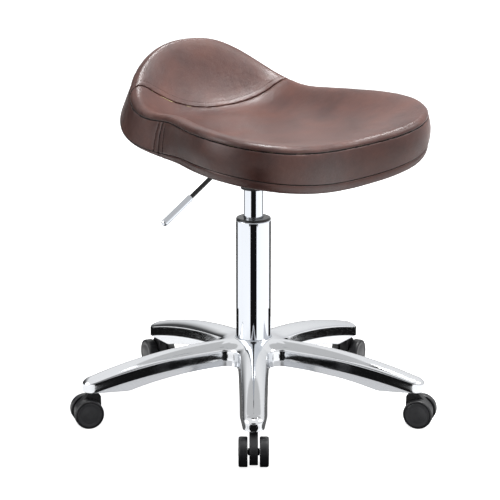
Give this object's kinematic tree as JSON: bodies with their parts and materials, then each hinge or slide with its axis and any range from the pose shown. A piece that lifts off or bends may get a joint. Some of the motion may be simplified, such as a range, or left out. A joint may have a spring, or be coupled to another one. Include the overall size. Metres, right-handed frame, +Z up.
{
  "type": "salon stool",
  "caption": "Saddle-shaped padded stool with a raised back, height-adjustable swivelling gas column, release lever and a star base on casters.",
  "frame": {"origin": "on the floor, on the column's axis", "axes": "+Z up along the column, -Y the way the sitter faces, the release lever along -X at the sitter's right"},
  "size_m": [0.5247, 0.5116, 0.522],
  "materials": {
    "polished_aluminium": "polished",
    "chromed_steel": "mirror chrome",
    "zinced_steel": "zinc plated",
    "black_steel": "satin black powder coat",
    "black_nylon": "moulded, satin",
    "dark_acetal": "moulded",
    "black_rubber": "matt",
    "cast_aluminium": "turned",
    "brown_leather": "semi-gloss brown coated leather",
    "birch_plywood": "moulded plywood",
    "seat_foam": "open-cell polyurethane foam",
    "black_cloth": "non-woven lining"
  },
  "bodies": {
    "base": {"star_base": "polished_aluminium", "outer_tube": "chromed_steel", "guide_bush": "dark_acetal", "thrust_bearing": "zinced_steel", "caster_1_stem": "zinced_steel", "caster_2_stem": "zinced_steel", "caster_3_stem": "zinced_steel", "caster_4_stem": "zinced_steel", "caster_5_stem": "zinced_steel"},
    "rod": {"piston_rod": "zinced_steel", "retaining_clip": "zinced_steel", "bumper": "black_rubber", "piston": "cast_aluminium"},
    "seat": {"gas_cylinder": "chromed_steel", "rod_guide": "dark_acetal", "seat_plate": "black_steel", "lever_pin": "zinced_steel", "seat_bolts": "zinced_steel", "spring_washers": "zinced_steel", "t_nuts": "zinced_steel", "seat_board": "birch_plywood", "foam_cushion": "seat_foam", "seat_panel": "brown_leather", "back_panel": "brown_leather", "front_band": "brown_leather", "rear_band": "brown_leather", "under_cloth": "black_cloth", "cover_staples": "zinced_steel"},
    "lever": {"release_lever": "black_steel", "lever_grip": "chromed_steel"},
    "button": {"valve_button": "zinced_steel"},
    "caster_1": {"caster_1_housing": "black_nylon", "caster_1_axle": "zinced_steel"},
    "caster_1_left": {"caster_1_wheel_left": "black_nylon"},
    "caster_1_right": {"caster_1_wheel_right": "black_nylon"},
    "caster_2": {"caster_2_housing": "black_nylon", "caster_2_axle": "zinced_steel"},
    "caster_2_left": {"caster_2_wheel_left": "black_nylon"},
    "caster_2_right": {"caster_2_wheel_right": "black_nylon"},
    "caster_3": {"caster_3_housing": "black_nylon", "caster_3_axle": "zinced_steel"},
    "caster_3_left": {"caster_3_wheel_left": "black_nylon"},
    "caster_3_right": {"caster_3_wheel_right": "black_nylon"},
    "caster_4": {"caster_4_housing": "black_nylon", "caster_4_axle": "zinced_steel"},
    "caster_4_left": {"caster_4_wheel_left": "black_nylon"},
    "caster_4_right": {"caster_4_wheel_right": "black_nylon"},
    "caster_5": {"caster_5_housing": "black_nylon", "caster_5_axle": "zinced_steel"},
    "caster_5_left": {"caster_5_wheel_left": "black_nylon"},
    "caster_5_right": {"caster_5_wheel_right": "black_nylon"}
  },
  "joints": [
    {"name": "seat_swivel", "type": "hinge", "parent": "base", "child": "rod", "pos_m": [0, 0, 0.2], "axis": [0, 0, 1], "continuous": true},
    {"name": "seat_height", "type": "slide", "parent": "rod", "child": "seat", "axis": [0, 0, 1], "range_m": [0, 0.12]},
    {"name": "lever_pivot", "type": "hinge", "parent": "seat", "child": "lever", "pos_m": [-0.028, 0, 0.36855], "axis": [0, 1, 0], "range_deg": [0, 6], "stiffness_Nm_per_rad": 0.6},
    {"name": "valve_travel", "type": "slide", "parent": "seat", "child": "button", "axis": [0, 0, -1], "range_m": [0, 0.003]},
    {"name": "caster_1_swivel", "type": "hinge", "parent": "base", "child": "caster_1", "pos_m": [-0.15395, -0.18347, 0.05], "axis": [0, 0, 1], "continuous": true},
    {"name": "caster_1_left_spin", "type": "hinge", "parent": "caster_1", "child": "caster_1_left", "pos_m": [-0.15973, -0.19036, 0.021], "axis": [0.766, -0.6428, 0], "continuous": true},
    {"name": "caster_1_right_spin", "type": "hinge", "parent": "caster_1", "child": "caster_1_right", "pos_m": [-0.15973, -0.19036, 0.021], "axis": [0.766, -0.6428, 0], "continuous": true},
    {"name": "caster_2_swivel", "type": "hinge", "parent": "base", "child": "caster_2", "pos_m": [0.12692, -0.20311, 0.05], "axis": [0, 0, 1], "continuous": true},
    {"name": "caster_2_left_spin", "type": "hinge", "parent": "caster_2", "child": "caster_2_left", "pos_m": [0.13208, -0.21048, 0.021], "axis": [0.8192, 0.5736, 0], "continuous": true},
    {"name": "caster_2_right_spin", "type": "hinge", "parent": "caster_2", "child": "caster_2_right", "pos_m": [0.13208, -0.21048, 0.021], "axis": [0.8192, 0.5736, 0], "continuous": true},
    {"name": "caster_3_swivel", "type": "hinge", "parent": "base", "child": "caster_3", "pos_m": [0.23239, 0.05794, 0.05], "axis": [0, 0, 1], "continuous": true},
    {"name": "caster_3_left_spin", "type": "hinge", "parent": "caster_3", "child": "caster_3_left", "pos_m": [0.24047, 0.06189, 0.021], "axis": [-0.4384, 0.8988, 0], "continuous": true},
    {"name": "caster_3_right_spin", "type": "hinge", "parent": "caster_3", "child": "caster_3_right", "pos_m": [0.24047, 0.06189, 0.021], "axis": [-0.4384, 0.8988, 0], "continuous": true},
    {"name": "caster_4_swivel", "type": "hinge", "parent": "base", "child": "caster_4", "pos_m": [0.01671, 0.23892, 0.05], "axis": [0, 0, 1], "continuous": true},
    {"name": "caster_4_left_spin", "type": "hinge", "parent": "caster_4", "child": "caster_4_left", "pos_m": [0.01919, 0.24757, 0.021], "axis": [-0.9613, 0.2756, 0], "continuous": true},
    {"name": "caster_4_right_spin", "type": "hinge", "parent": "caster_4", "child": "caster_4_right", "pos_m": [0.01919, 0.24757, 0.021], "axis": [-0.9613, 0.2756, 0], "continuous": true},
    {"name": "caster_5_swivel", "type": "hinge", "parent": "base", "child": "caster_5", "pos_m": [-0.22206, 0.08972, 0.05], "axis": [0, 0, 1], "continuous": true},
    {"name": "caster_5_left_spin", "type": "hinge", "parent": "caster_5", "child": "caster_5_left", "pos_m": [-0.23022, 0.09352, 0.021], "axis": [-0.4226, -0.9063, 0], "continuous": true},
    {"name": "caster_5_right_spin", "type": "hinge", "parent": "caster_5", "child": "caster_5_right", "pos_m": [-0.23022, 0.09352, 0.021], "axis": [-0.4226, -0.9063, 0], "continuous": true}
  ],
  "couplings": [
    {"joint": "valve_travel", "follows": "lever_pivot", "m_per_rad": 0.0285}
  ]
}
